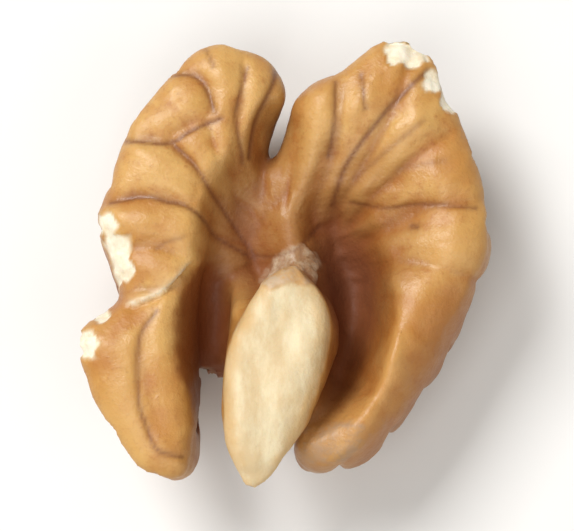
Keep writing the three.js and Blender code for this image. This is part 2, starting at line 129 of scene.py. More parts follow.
# Cleft to the left of the tongue: x and y as pixels, then depth and half width at the top in millimetres
CLEFT = [
    (407.5, 380, 3.0, 1.4), (404.8, 390, 5.0, 2.0), (403.8, 402, 6.6, 2.3), (403.6, 411, 7.4, 2.3),
    (403.5, 414.5, 8.6, 2.3), (403.4, 417, 14.0, 2.2), (403.6, 446, 14.5, 2.0),
]
CLEFT_WALL = {"foot": 0.36, "flare": 2.2, "round": 1.2}
# The left wall of the cleft leans back, most where y is the one given here
CLEFT_LEAN = {"y": -4.3, "reach": 3.4, "extra": 0.55, "foot": 0.14, "flare": 3.6, "side": 0.4}

# Centre lines of the rolls of the outer face: azimuth in degrees, then share of the dome's radius
OUTER_FOLDS = [
    # rolls that come down from the rim of the left lobe
    [(97, 0.98), (99, 0.8), (104, 0.62)],
    [(112, 1.0), (118, 0.85), (112, 0.62), (122, 0.42)],
    [(128, 1.0), (136, 0.84), (146, 0.66)],
    [(146, 1.0), (153, 0.86)],
    [(163, 1.0), (165, 0.8), (158, 0.6), (166, 0.4)],
    [(179, 1.0), (183, 0.86), (180, 0.68)],
    [(196, 1.0), (199, 0.82), (196, 0.58), (208, 0.38)],
    [(214, 1.0), (216, 0.84), (219, 0.62)],
    [(228, 1.0), (229, 0.8), (238, 0.58), (236, 0.42)],
    [(242, 1.0), (242, 0.84), (249, 0.66)],
    # rolls beside the midline, left
    [(100, 0.42), (120, 0.24), (170, 0.16)],
    [(205, 0.2), (232, 0.26), (250, 0.48)],
    # rolls that come down from the rim of the right lobe
    [(84, 0.98), (82, 0.8), (78, 0.6), (72, 0.42)],
    [(68, 1.0), (64, 0.84), (58, 0.66)],
    [(52, 1.0), (48, 0.85), (40, 0.7), (46, 0.48)],
    [(36, 1.0), (32, 0.86)],
    [(20, 1.0), (17, 0.84), (22, 0.64), (12, 0.42)],
    [(3, 1.0), (0, 0.8), (-6, 0.62)],
    [(-14, 1.0), (-17, 0.84), (-25, 0.66), (-16, 0.44)],
    [(-31, 1.0), (-35, 0.84)],
    [(-47, 1.0), (-46, 0.82), (-52, 0.6), (-44, 0.42)],
    [(-64, 1.0), (-66, 0.82), (-72, 0.62)],
    [(-80, 1.0), (-82, 0.82)],
    # rolls beside the midline, right
    [(78, 0.22), (30, 0.2), (-10, 0.2)],
    [(-58, 0.22), (-76, 0.42)],
]

# Relief, in millimetres unless named otherwise
BRIDGE_BLEND = 1.2
SHOULDER = {"drop": 1.0, "extra_drop": 2.6, "width": 3.2, "extra_width": 1.2, "power": 1.8, "most": 1.2}
OPEN_SIDE = {"azimuth": -38, "spread": 42}
FURROW = {"depth": 0.5, "width": 1.7, "power": 1.25, "calm": 0.7, "low_calm": 0.6,
          "rim_nick": 0.1, "rim_swell": 0.25}
RIM_FADE = {"share": 0.5, "start": -0.3, "end": -1.8}
LOW_BLOCK = {"right": -5.0, "top": -3.0, "fade": 1.5}
ROLL = {"base": 1.6, "low": 1.2, "high": 2.8, "growth": 0.65, "crease": 0.04, "softness": 0.5,
        "steepness": 1.25, "lump": 0.45, "lump_rate": 0.95, "lump_start": 0.8, "wander": 0.7}
# Waves that the rolls wander by: radians for a millimetre along each of the other axes, then the start
WANDER = [(0.55, 0.6, 0.0), (0.6, 0.5, 1.0), (0.6, -0.5, 2.0)]
# The rolls are worked out only this near the shell, past the lobes' outlines and up
ROLL_REACH = {"inward": 3.0, "outward": 2.6, "past_lobes": 2.0, "top": 0.5}
RIM_CALM = {"height": 2.2, "open_height": 1.1, "share": 0.65, "open_share": 0.3, "reach": 3.2,
            "drop_share": 0.6}
RIM_CURL = {"reach": 2.4, "most": 1.5, "inward": 0.9, "dome_rise": 6, "start": 0.5, "end": 2.0}
FLANK = {"tuck": 0.65, "draft": 0.15, "from_x": 3.0, "to_x": 7.0}
MIDLINE = {"x": -1.4, "wave": 0.5, "rate": 0.45, "depth": 1.6, "width": 0.9, "top": -6, "bottom": -9}
EDGE_ROUND = {"outer": 1.6, "inner": 1.3, "tongue": 0.6, "valley": 1.0, "bowl": 2.4}
TONGUE_SHAPE = {"top": 0.1, "crown": 0.8, "crown_width": 1.3, "droop": 1.2, "droop_power": 3, "edge": 1.1,
                "keel": -7.0, "tip_keel": -2.4, "keel_from": 0.1, "keel_to": 0.9}
TONGUE_LUMP = {"height": 0.2, "rate_x": 0.9, "rate_y": 0.7, "start": 0.5}
TONGUE_SIDE = {"inset": 0.3, "flare": 0.08, "extra_flare": 0.04, "width": 3.0}
TONGUE_AXIS = {"x": 0.43, "lean": 0.208, "root": -1, "length": 14}

# How far back a place lies for each millimetre that it is below the rim, to show where the photograph has it
LEAN_BACK = 1 / math.tan(math.radians(80))

# Veins of the inner face: line as pixels, half width in millimetres, strength
VEINS = [
    ([(401.6, 343.8), (403.6, 348.2)], 0.12, 0.51),
    ([(411.1, 348.4), (408.9, 357.8), (409.2, 363), (410, 370)], 0.13, 0.68),
    ([(418, 347.8), (417, 352.6), (413.3, 360), (411.5, 368.8)], 0.16, 0.85),
    ([(394.2, 349.8), (398.8, 350.2), (401.6, 352.8), (403.8, 358.5)], 0.15, 0.77),
    ([(383.5, 365.2), (393.6, 365.6), (398, 363), (405.2, 360)], 0.15, 0.85),
    ([(394.4, 366), (398.8, 370.2), (402.4, 375.4), (406.8, 382.6), (412.6, 391.2)], 0.14, 0.77),
    ([(379.8, 379), (387.8, 377.8), (393, 379), (397.4, 380), (401.6, 383.4), (403.8, 386.8), (412.6, 392)],
     0.15, 0.77),
    ([(390.6, 389.8), (392.8, 388.4), (397.2, 387)], 0.14, 0.38),
    ([(390.8, 403.8), (387, 410.2), (387, 423.2), (388.6, 429), (391.4, 434.8), (397.2, 436.4)], 0.14, 0.68),
    ([(431.4, 351.6), (431, 361.4), (430, 368.8)], 0.16, 0.77),
    ([(437.2, 349.8), (438, 357.8)], 0.14, 0.68),
    ([(452.4, 349), (446, 355), (438.8, 363.6), (433.6, 371), (430.8, 379.6)], 0.18, 0.85),
    ([(451, 360.8), (442.4, 368), (436, 373.5)], 0.19, 0.42),
    ([(456, 369.5), (446, 371.6)], 0.22, 0.3),
    ([(463.4, 380.4), (451.8, 379.6), (443, 380.4), (435, 379)], 0.14, 0.64),
    ([(448.4, 384.4), (449.6, 384.6)], 0.18, 0.85),
    ([(412.6, 391.2), (417, 391.5), (422.7, 389.6), (428, 384)], 0.14, 0.59),
    ([(423.4, 389.8), (424.5, 396.5)], 0.12, 0.51),
]
# A vein's stain is wider than the vein by this factor
STAIN_WIDTH = 2.6

# Places where the skin is broken off a rim and pale flesh shows: x, y and radius as pixels
CHIPS = [
    (379.5, 384.5, 3.0), (380.8, 389.5, 3.8), (383, 395, 3.0), (378, 404.8, 2.0), (374.8, 410.5, 3.2),
    (445, 344, 3.6), (449.5, 344.8, 3.6), (454.5, 351, 3.0), (457.6, 356, 2.4),
]

# Torn edge of the skin, where the upper left block stands over the lower left one, as pixels
FLAKE = [(382.6, 402.6), (387.5, 401.4), (391.5, 399.6), (395.4, 396.8), (399, 392)]
# How far the step under the torn edge and the pale rim on it reach, in millimetres
FLAKE_WIDTH = {"low": 0.9, "rim": 0.2}

# Papery remnant of the partition at the root of the tongue, and dull residue at the lower end, as pixels
ROOT_FILM = [
    (414.5, 397), (417, 391.5), (421.5, 389.2), (426, 390.5), (428, 394.5), (426, 397.6), (421, 397.4),
    (417.5, 399),
]
LOW_RESIDUE = [(420.5, 433.5), (427, 429.5), (436, 429), (439.5, 432), (433, 437.6), (425, 438)]

# Where the ribs of the inner face run to, as pixels
RIB_HUB = (419, 387)

# Side of the lower left block, down to the cleft, which is painted in shade, as pixels
SHADED_SIDE = [
    (401.5, 393), (397.4, 399), (395.6, 407), (395.4, 415.5), (397.8, 421), (400.4, 428), (401.6, 435),
    (405.5, 434), (405, 415), (404.5, 398),
]

# Painted shade, where the skin is painted darkest: x and y as pixels, radius in millimetres, strength
SHADES = [
    (433, 398, 3.2, 0.75), (406, 371, 1.5, 0.3), (407, 380, 1.6, 0.3),
]

# Where marks of the skin fade in, from none of a mark to all of it: by the normal's height or in millimetres
FADE = {
    "up": (0.0, 0.45), "out": (0.4, -0.8), "under_rim": (-0.6, -1.8), "foot": (0.35, 0.0),
    "vein_gap": (0.1, 0.5), "vein_depth": (-8.5, -6.5), "shade_depth": (-0.8, -2.4),
    "tongue_gap": (0.12, -0.16), "tongue_depth": (-2.6, -1.6), "tongue_edge": (-1.3, -0.1),
    "chip_gap": (-0.12, 0.2), "chip_depth": (-3.9, -3.1),
    "side_gap": (0.45, -0.35), "off_tongue": (-0.3, 0.3),
    "flake_low": (0.06, -0.1), "flake_rim": (-0.1, 0.05),
    "film_gap": (0.12, -0.12), "film_depth": (-6.5, -5.0),
    "ribs": (1.0, 3.5), "fan_x": (2.0, 6.0), "fan_y": (-2.0, 1.0), "open_x": (-1.0, 2.0),
}
# Shares of the torn edge's length over which its two ends fade
LINE_ENDS = [(0.0, 0.15), (1.0, 0.85)]

# Noises of the relief: spacing in millimetres and seed
NOISE = {
    "coarse": (2.6, 3), "middle": (1.1, 5), "fine": (0.55, 7), "ribs": (0.85, 13), "fine_ribs": (0.4, 17),
    "film": (0.5, 23), "streaks": (0.5, 11), "lumps": (1.7, 19),
}
# Wrinkles along the ribs: noise, strength and how drawn out it is
RIB_NOISES = [("ribs", 0.8, 0.28), ("fine_ribs", 0.3, 0.4)]
RIB_TURN = 7.0
# Stretch of the noises of the dry film and of the tongue's streaks and lumps, along three axes
FILM_STRETCH = (5.0, 0.3, 0.3)
STREAK_STRETCH = (1.0, 0.22, 1.0)
LUMP_STRETCH = (1.0, 0.6, 1.0)
# Noise that makes the edges of the marks ragged, then how much of it each mark takes
WOBBLE = {"middle": 0.6, "fine": 0.5, "tongue": 0.2, "tongue_edge": 0.5, "chips": 0.7, "side": 0.25,
          "film_middle": 0.3, "film_fine": 0.15}

# Heights of the fine relief, in millimetres, and shares
LIFT = {
    "coarse": 0.1, "middle": 0.05, "fine": 0.016, "ribs": 0.1, "fan_ribs": 0.08, "outer": 0.05,
    "vein": 0.09, "stain": 0.04, "crease": 0.1, "chips": 0.2, "chip_grain": 0.8,
    "film": 0.1, "film_grain": 0.16, "residue_share": 0.4, "flake_low": 0.45, "flake_rim": 0.1,
    "tongue_calm": 0.8, "tongue_streaks": 0.03, "tongue_lumps": 0.18, "tongue_fine": 0.03,
    "tongue_middle": 0.06,
}
# Width of a crease, as how much further its second roll is than its first
CREASE_WIDTH = 0.07
# Painted shade in folds and painted highlight on bulges: rounds of averaging, and the depth in millimetres
# that counts fully
RELIEF_SHADING = {"rounds": 8, "soften": 2, "full": 0.12}
# Painted shade: the deep parts are painted darker from this height down
DEEP_SHADE = {"top": -1.6, "depth": 5.0, "power": 0.8}

# Colours, linear
TAN = (0.49, 0.228, 0.05, 1)
LIGHT_TAN = (0.61, 0.352, 0.112, 1)
CHIP_WHITE = (0.86, 0.79, 0.63, 1)
AMBER = (0.42, 0.156, 0.028, 1)
# Brown of the real stains and grain, also used for painted shade in the folds, in the deep parts and on the
# cleft's wall
SHADE_AND_STAIN_BROWN = (0.195, 0.047, 0.008, 1)
# Brown of the veins, also used for painted shade in the darkest places and in the creases of the outer face
VEIN_AND_SHADE_BROWN = (0.145, 0.042, 0.015, 1)
CREAM = (0.63, 0.475, 0.265, 1)
PALE_CREAM = (0.74, 0.63, 0.41, 1)
FILM_PALE = (0.56, 0.43, 0.29, 1)
RESIDUE = (0.36, 0.235, 0.14, 1)

# Noises of the material: scale per metre, detail, roughness and stretch
SKIN_NOISES = {
    "broad": (240, 4, 0.55, None), "mottle": (800, 6, 0.65, None), "grain": (3200, 3, 0.6, None),
    "streak": (800, 5, 0.6, (1.0, 0.4, 0.7)),
}
# Colours laid over the tan, in order: the noise or mark that each follows, its start and end, its most
SKIN_LAYERS = [
    ("broad", 0.4, 0.62, 1, LIGHT_TAN),
    ("mottle", 0.48, 0.7, 0.75, AMBER),
    ("mottle", 0.42, 0.3, 0.6, LIGHT_TAN),
    ("grain", 0.55, 0.8, 0.35, SHADE_AND_STAIN_BROWN),
    # painted highlight on the rib crests and painted shade in the grooves between them
    ("ribs", 0.5, 0.8, 0.6, LIGHT_TAN),
    ("ribs", 0.5, 0.2, 0.6, AMBER),
    ("outward", 0, 1, 0.5, AMBER),
    ("open", 0, 1, 0.5, AMBER),
    # painted shade in the folds and painted highlight on the bulges
    ("hollow", 0.55, 0.98, 0.4, SHADE_AND_STAIN_BROWN),
    ("hollow", 0.45, 0.1, 0.35, LIGHT_TAN),
    # painted shade in the deep parts
    ("well", 0, 1, 0.9, SHADE_AND_STAIN_BROWN),
    # painted shade on the side of the lower left block
    ("side", 0, 1, 0.78, SHADE_AND_STAIN_BROWN),
    # painted shade in the hollow beside the tongue and on the slope below the notch
    ("shade", 0, 1, 1, VEIN_AND_SHADE_BROWN),
    ("stain", 0, 1, 0.3, SHADE_AND_STAIN_BROWN),
    ("vein", 0, 1, 0.85, VEIN_AND_SHADE_BROWN),
    # painted shade in the creases of the outer face
    ("crease", 0, 1, 0.7, VEIN_AND_SHADE_BROWN),
]
FLESH_LAYERS = [
    ("streak", 0.4, 0.65, 1, PALE_CREAM),
    ("tongue_edge", 0, 1, 0.6, LIGHT_TAN),
]
# Patchy colours: the mark, where the mottle that breaks it up starts and ends, its least and most
SKIN_PATCHES = [
    ("film", 0.42, 0.6, 0.2, 0.85, FILM_PALE),
    ("residue", 0.44, 0.6, 0.1, 0.7, RESIDUE),
]
FLESH_PATCHES = [
    ("chip", 0.35, 0.6, 0.3, 1, CHIP_WHITE),
]
# Roughness of the skin over its mottle, and the least where the flesh is bare and where it is deep
ROUGHNESS = (0.3, 0.7, 0.31, 0.5)
LEAST_ROUGHNESS = {"flesh": 0.62, "well": 0.7}
# Bumps: distance in metres and strength
MOTTLE_BUMP = (0.00016, 0.4)
GRAIN_BUMP = (0.00005, 0.6)
SKIN_SOCKETS = {
    "Subsurface Weight": 0.1, "Subsurface Radius": (1.0, 0.5, 0.22), "Subsurface Scale": 0.0008,
    "Specular IOR Level": 0.42, "Coat Weight": 0.04, "Coat Roughness": 0.25,
}

# Surroundings, in metres, degrees and watts
FLOOR = {"half": 3.0, "noise_scale": 90, "noise_detail": 3, "dull": (0.78, 0.77, 0.75, 1),
         "pale": (0.82, 0.81, 0.79, 1), "roughness": (0, 1, 0.6, 0.7)}
CAMERA = {"azimuth": 0, "elevation": 80, "lens": 200, "distance": 0.216, "clip_start": 0.005, "clip_end": 20}
# The camera and the lights aim at this share of the kernel's height
AIM_HEIGHT = 0.72
# Name, azimuth, elevation, distance, size and power, with azimuth 0 in front and 90 to the right
LIGHTS = [
    ("key", -130, 52, 0.6, 0.26, 3.2),
    ("fill", 50, 40, 0.7, 0.5, 0.9),
    ("front", -25, 60, 0.7, 0.4, 1.7),
]
WORLD = {"colour": (1.0, 0.96, 0.9, 1), "strength": 0.3}


# Shape of the kernel


def ease(start, end, value):
    """From 0 at start to 1 at end, smoothly; start may be the higher of the two."""
    t = np.clip((value - start) / (end - start), 0, 1)
    return t * t * (3 - 2 * t)


def smooth_min(a, b, blend):
    near = np.maximum(blend - np.abs(a - b), 0) / blend
    return np.minimum(a, b) - near * near * blend / 4


def smooth_max(a, b, blend):
    return -smooth_min(-a, -b, blend)


def from_pixels(points):
    """Plan places in millimetres, with any further numbers of each point kept."""
    return [((p[0] - CENTRE_PIXEL[0]) * PIXEL, (CENTRE_PIXEL[1] - p[1]) * PIXEL / FORESHORTENING, *p[2:])
            for p in points]


def smooth_line(points, steps, closed=False):
    """Catmull-Rom curve through points of any number of coordinates."""
    p = np.asarray(points, float)
    count = len(p)
    if closed:
        p = np.vstack([p[-1], p, p[0], p[1]])
    else:
        p = np.vstack([2 * p[0] - p[1], p, 2 * p[-1] - p[-2]])
    t = (np.arange(steps) / steps)[:, None]
    line = []
    for i in range(count if closed else count - 1):
        a, b, c, d = p[i:i + 4]
        line.append(0.5 * (2 * b + (c - a) * t + (2 * a - 5 * b + 4 * c - d) * t ** 2
                           + (3 * b - a - 3 * c + d) * t ** 3))
    if not closed:
        line.append(p[-2:-1])
    return np.vstack(line)


def to_segment(points, a, b):
    """Distance from each point to the segment a-b, and how far along it the nearest place is."""
    along = b - a
    t = np.clip((points - a) @ along / max(along @ along, 1e-12), 0, 1)
    return np.linalg.norm(points - a - t[..., None] * along, axis=-1), t


def line_distance(points, line):
    best = np.full(points.shape[:-1], 1e9)
    for a, b in zip(line[:-1], line[1:]):
        best = np.minimum(best, to_segment(points, a, b)[0])
    return best


def outline_distance(places, outline):
    """Distance to a closed outline in plan, negative inside."""
    ring = np.vstack([outline, outline[:1]])
    x, y = places[..., 0], places[..., 1]
    inside = np.zeros(x.shape, bool)
    for a, b in zip(ring[:-1], ring[1:]):
        if a[1] != b[1]:
            meets = (b[0] - a[0]) * (y - a[1]) / (b[1] - a[1]) + a[0]
            inside ^= ((a[1] > y) != (b[1] > y)) & (x < meets)
    distance = line_distance(places, ring)
    return np.where(inside, -distance, distance)


def two_nearest(points, lines):
    """Distances to the nearest and the second nearest of several lines."""
    first = np.full(points.shape[:-1], 1e3)
    second = np.full(points.shape[:-1], 1e3)
    for line in lines:
        distance = line_distance(points, line)
        second = np.minimum(second, np.maximum(first, distance))
        first = np.minimum(first, distance)
    return first, second


def on_dome(points):
    """Points of the outer dome below the rim, from azimuth and share of the radius."""
    placed = []
    for azimuth, share in points:
        angle = math.radians(azimuth)
        height = RIM_Z - DOME[2] * math.sqrt(1 - share * share)
        placed.append((DOME[0] * share * math.cos(angle), DOME[1] * share * math.sin(angle), height))
    return placed


def pixel_outline(pixels):
    """A closed smooth outline in millimetres, from pixels."""
    return smooth_line(from_pixels(pixels), CURVE_STEPS, True)


def pixel_place(place):
    """One place in millimetres, from its pixel."""
    return np.array(from_pixels([place])[0])


OUTLINES = [pixel_outline(pixels) for pixels in (LEFT_LOBE, RIGHT_LOBE, BRIDGE, TONGUE)]
INNER_LINES = [smooth_line(from_pixels(pixels), FOLD_STEPS) for pixels in INNER_FOLDS]
VALLEY_LINES = [smooth_line(from_pixels(pixels), CURVE_STEPS) for pixels in VALLEYS]
OUTER_LINES = [smooth_line(on_dome(points), FOLD_STEPS) for points in OUTER_FOLDS]
CLEFT_LINE = smooth_line(from_pixels(CLEFT), CURVE_STEPS)
BOWL_CENTRE = pixel_place(BOWL["place"])


def across_valley(places, line):
    """Distance to the nearest place on a line, with the depth and half width that the line carries there."""
    distance = np.full(places.shape[:-1], 1e9)
    carried = np.zeros(places.shape)
    for a, b in zip(line[:-1], line[1:]):
        d, t = to_segment(places, a[:2], b[:2])
        nearer = d < distance
        distance = np.where(nearer, d, distance)
        carried = np.where(nearer[..., None], a[2:] + t[..., None] * (b[2:] - a[2:]), carried)
    return distance, carried[..., 0], carried[..., 1]


def open_side(places):
    """How much a place belongs to the open lower side of the right lobe."""
    azimuth = np.degrees(np.arctan2(places[..., 1], places[..., 0]))
    return np.exp(-((azimuth - OPEN_SIDE["azimuth"]) / OPEN_SIDE["spread"]) ** 2)


def plan_at(places):
    """What depends on the plan alone: distances to outlines, furrow strength, height of the inner face."""
    left, right, bridge, tongue = (outline_distance(places, outline) for outline in OUTLINES)
    lobes = smooth_min(np.minimum(left, right), bridge, BRIDGE_BLEND)
    open_ = open_side(places)
    depth = np.zeros(lobes.shape)
    for line in VALLEY_LINES:
        distance, deep, half_width = across_valley(places, line)
        across = np.minimum(distance / half_width, 1)
        depth = smooth_max(depth, deep * (1 - across * across) ** VALLEY_POWER, EDGE_ROUND["valley"])
    from_bowl = np.minimum(np.linalg.norm(places - BOWL_CENTRE, axis=-1) / BOWL["radius"], 1)
    depth = smooth_max(depth, BOWL["depth"] * (1 - from_bowl) ** BOWL["power"], EDGE_ROUND["bowl"])
    rimward = np.clip(1 + lobes / (SHOULDER["width"] + SHOULDER["extra_width"] * open_), 0, SHOULDER["most"])
    shoulder = (SHOULDER["drop"] + SHOULDER["extra_drop"] * open_) * rimward ** SHOULDER["power"]
    first, second = two_nearest(places, INNER_LINES)
    towards_rim = RIM_FADE["share"] * ease(RIM_FADE["end"], RIM_FADE["start"], lobes)
    furrow = np.exp(-((second - first) / FURROW["width"]) ** FURROW["power"]) * (1 - towards_rim)
    block = LOW_BLOCK
    low = ease(block["top"] + block["fade"], block["top"], places[..., 1])
    low = low * ease(block["right"] + block["fade"], block["right"], places[..., 0])
    calm = 1 - FURROW["calm"] * open_ - FURROW["low_calm"] * low
    top = -depth - shoulder - FURROW["depth"] * calm * furrow
    return {"lobes": lobes, "tongue": tongue, "furrow": furrow, "top": top}


def roll_shares(points):
    """Distances from points to the nearest two rolls of the outer face, softened near their centre lines."""
    x, y, z = points.T
    moved = []
    for own, a, b, (rate_a, rate_b, start) in zip((x, y, z), (y, z, x), (z, x, y), WANDER):
        moved.append(own + ROLL["wander"] * np.sin(rate_a * a + rate_b * b + start))
    first, second = two_nearest(np.stack(moved, axis=-1), OUTER_LINES)
    return np.hypot(first, ROLL["softness"]), np.hypot(second, ROLL["softness"])


def roll_height(points):
    """Height of the rolls over the bottoms of the creases between them."""
    x, y, z = points.T
    first, second = roll_shares(points)
    crown = np.clip(ROLL["growth"] * (first + second), ROLL["low"], ROLL["high"])
    lump = ROLL["lump"] * np.sin(x + ROLL["lump_start"]) * np.sin(ROLL["lump_rate"] * y) * np.sin(z)
    rise = np.hypot(1 - first / second, ROLL["crease"]) - ROLL["crease"]
    height = crown * np.sin(np.minimum(ROLL["steepness"] * rise, 1) * math.pi / 2) + lump
    open_ = open_side(points[:, :2])
    calm = RIM_CALM["share"] + RIM_CALM["open_share"] * open_
    raised = z + RIM_CALM["drop_share"] * SHOULDER["extra_drop"] * open_
    calm = np.minimum(calm, 1) * ease(RIM_Z - RIM_CALM["reach"], RIM_Z, raised)
    level = RIM_CALM["height"] + (RIM_CALM["open_height"] - RIM_CALM["height"]) * open_
    return height + calm * (level - height)


def kernel_values(low, cell, size):
    """Values of the kernel at the points of a grid."""
    xs, ys, zs = (low[axis] + cell * np.arange(size[axis]) for axis in range(3))
    places = np.stack(np.meshgrid(xs, ys, indexing="ij"), axis=-1)
    plan = plan_at(places)
    slope_x, slope_y = np.gradient(plan["top"], cell)
    stretch = np.sqrt(1 + slope_x ** 2 + slope_y ** 2)
    lobes, tongue, furrow, top, stretch = (
        a[..., None] for a in (plan["lobes"], plan["tongue"], plan["furrow"], plan["top"], stretch))
    x, y, z = xs[:, None, None], ys[None, :, None], zs[None, None, :]

    share = np.hypot(x / DOME[0], y / DOME[1])
    share = share - FLANK["tuck"] * np.maximum(share - 1, 0)
    reach = np.hypot(share, (z - RIM_Z) / DOME[2])
    shell = (reach - 1) * SHELL_SCALE
    rolls = np.zeros(shell.shape)
    near = (shell > -ROLL_REACH["inward"]) & (shell < ROLL_REACH["outward"])
    near = near & (lobes < ROLL_REACH["past_lobes"]) & (z < ROLL_REACH["top"])
    rolls[near] = roll_height(np.stack(np.broadcast_arrays(x, y, z), axis=-1)[near])
    over_rim = np.clip((z - RIM_Z) / RIM_CURL["reach"], 0, RIM_CURL["most"])
    wall = lobes + RIM_CURL["inward"] * over_rim ** 2 - FURROW["rim_swell"] + FURROW["rim_nick"] * furrow
    wall = wall + FLANK["draft"] * ease(FLANK["from_x"], FLANK["to_x"], x) * np.maximum(RIM_Z - z, 0)
    above_rim = RIM_CURL["dome_rise"] * ease(RIM_Z - RIM_CURL["start"], RIM_Z + RIM_CURL["end"], z)
    dome = shell + ROLL["base"] - rolls - above_rim
    midline = np.abs(x - MIDLINE["x"] - MIDLINE["wave"] * np.sin(MIDLINE["rate"] * y))
    groove = MIDLINE["depth"] * np.exp(-midline / MIDLINE["width"])
    groove = groove * ease(MIDLINE["top"], MIDLINE["bottom"], z)
    outside = smooth_max(dome, wall, EDGE_ROUND["outer"]) + groove
    body = smooth_max(outside, (z - top) / stretch, EDGE_ROUND["inner"])

    distance, deep, half_width = (a[..., None] for a in across_valley(places, CLEFT_LINE))
    lean = ease(CLEFT_LEAN["side"], -CLEFT_LEAN["side"], x - CLEFT_LINE[:, 0].mean())
    lean = lean * np.exp(-((y - CLEFT_LEAN["y"]) / CLEFT_LEAN["reach"]) ** 2)
    foot = CLEFT_WALL["foot"] + (CLEFT_LEAN["foot"] - CLEFT_WALL["foot"]) * lean
    run = CLEFT_WALL["flare"] + (CLEFT_LEAN["flare"] - CLEFT_WALL["flare"]) * lean
    half_width = half_width * (1 + CLEFT_LEAN["extra"] * lean)
    width = half_width * (foot + (1 - foot) * np.exp(np.minimum(z, 0) / run))
    cleft = smooth_min(width - distance, z + deep, CLEFT_WALL["round"])
    body = smooth_max(body, cleft, CLEFT_WALL["round"])

    shape = TONGUE_SHAPE
    along = np.clip((TONGUE_AXIS["root"] - y) / TONGUE_AXIS["length"], 0, 1)
    side = np.clip((x - TONGUE_AXIS["x"] - TONGUE_AXIS["lean"] * y) / TONGUE_SIDE["width"], -1, 1)
    flare = TONGUE_SIDE["flare"] + TONGUE_SIDE["extra_flare"] * side
    crown = shape["crown"] * np.exp(tongue / shape["crown_width"])
    lump = TONGUE_LUMP["height"] * np.sin(TONGUE_LUMP["rate_x"] * x + TONGUE_LUMP["start"])
    lump = lump * np.sin(TONGUE_LUMP["rate_y"] * y)
    tongue_top = shape["top"] - crown + lump - shape["droop"] * along ** shape["droop_power"]
    towards_tip = ease(shape["keel_from"], shape["keel_to"], along)
    keel = shape["keel"] + (shape["tip_keel"] - shape["keel"]) * towards_tip
    wall = tongue + TONGUE_SIDE["inset"] + flare * np.minimum(z, 0)
    upper = smooth_max(wall, z - tongue_top, shape["edge"])
    blade = smooth_max(upper, keel - z, EDGE_ROUND["outer"])
    whole = smooth_min(body, blade, EDGE_ROUND["tongue"])
    return smooth_max(whole, FOOT_Z - z, FOOT_ROUND)


def surface_net(values, low, cell):
    """One vertex in each cell that the surface crosses, one quad for each crossed grid edge."""
    size = values.shape
    inside = values < 0
    cells = tuple(n - 1 for n in size)
    total = np.zeros(cells + (3,))
    count = np.zeros(cells, int)

    def corner(offset):
        return tuple(slice(o, n - 1 + o) for o, n in zip(offset, size))

    for axis in range(3):
        sides = [a for a in range(3) if a != axis]
        for u, v in ((0, 0), (0, 1), (1, 0), (1, 1)):
            start = [0, 0, 0]
            start[sides[0]], start[sides[1]] = u, v
            end = list(start)
            end[axis] = 1
            a, b = values[corner(start)], values[corner(end)]
            crossed = (a < 0) != (b < 0)
            place = np.tile(np.array(start, float), (crossed.sum(), 1))
            place[:, axis] = a[crossed] / (a[crossed] - b[crossed])
            total[crossed] += place
            count[crossed] += 1
    used = count > 0
    number = np.full(cells, -1)
    number[used] = np.arange(used.sum())
    vertices = (np.argwhere(used) + total[used] / count[used][:, None]) * cell + np.array(low)

    quads = []
    for axis in range(3):
        side_a, side_b = (axis + 1) % 3, (axis + 2) % 3
        starts = inside.take(range(size[axis] - 1), axis)
        ends = inside.take(range(1, size[axis]), axis)
        edges = np.argwhere(starts != ends)
        ring = []
        for back_a, back_b in ((1, 1), (0, 1), (0, 0), (1, 0)):
            neighbour = edges.copy()
            neighbour[:, side_a] -= back_a
            neighbour[:, side_b] -= back_b
            ring.append(number[tuple(neighbour.T)])
        ring = np.stack(ring, axis=1)
        leaving = starts[tuple(edges.T)]
        ring[~leaving] = ring[~leaving][:, ::-1]
        quads.append(ring)
    return vertices, np.concatenate(quads)


def largest_part(vertices, quads):
    """The mesh without the crumbs that come loose where two cuts meet."""
    label = np.arange(len(vertices))
    while True:
        lowest = label.copy()
        np.minimum.at(lowest, quads.ravel(), np.repeat(label[quads].min(1), 4))
        lowest = lowest[lowest]
        if (lowest == label).all():
            break
        label = lowest
    kept = label == np.bincount(label).argmax()
    number = np.cumsum(kept) - 1
    return vertices[kept], number[quads[kept[quads[:, 0]]]]


def vertex_normals(vertices, quads):
    across = vertices[quads[:, 2]] - vertices[quads[:, 0]]
    other = vertices[quads[:, 3]] - vertices[quads[:, 1]]
    face = np.cross(across, other)
    normals = np.zeros(vertices.shape)
    for corner in range(4):
        np.add.at(normals, quads[:, corner], face)
    return normals / np.maximum(np.linalg.norm(normals, axis=1), 1e-12)[:, None]


def lattice_noise(points, spacing, seed):
    """Smooth noise from -1 to 1 with features about spacing wide."""
    side = 32
    table = np.random.default_rng(seed).uniform(-1, 1, (side, side, side))
    scaled = points / spacing
    base = np.floor(scaled).astype(int)
    t = scaled - base
    t = t * t * (3 - 2 * t)
    value = np.zeros(len(points))
    for dx in (0, 1):
        for dy in (0, 1):
            for dz in (0, 1):
                weight = np.abs(1 - dx - t[:, 0]) * np.abs(1 - dy - t[:, 1]) * np.abs(1 - dz - t[:, 2])
                i, j, k = ((base + (dx, dy, dz)) % side).T
                value += weight * table[i, j, k]
    return value


# Mesh with its fine relief


def edge_neighbours(vertices, quads, values, rounds):
    """Values averaged over the neighbours of each vertex, several times."""
    pairs = np.concatenate([quads[:, [i, (i + 1) % 4]] for i in range(4)])
    count = np.bincount(pairs[:, 0], minlength=len(vertices)).astype(float)
    for _ in range(rounds):
        total = np.stack([np.bincount(pairs[:, 0], values[pairs[:, 1], axis], len(vertices))
                          for axis in range(values.shape[1])], axis=1)
        values = total / count[:, None]
    return values


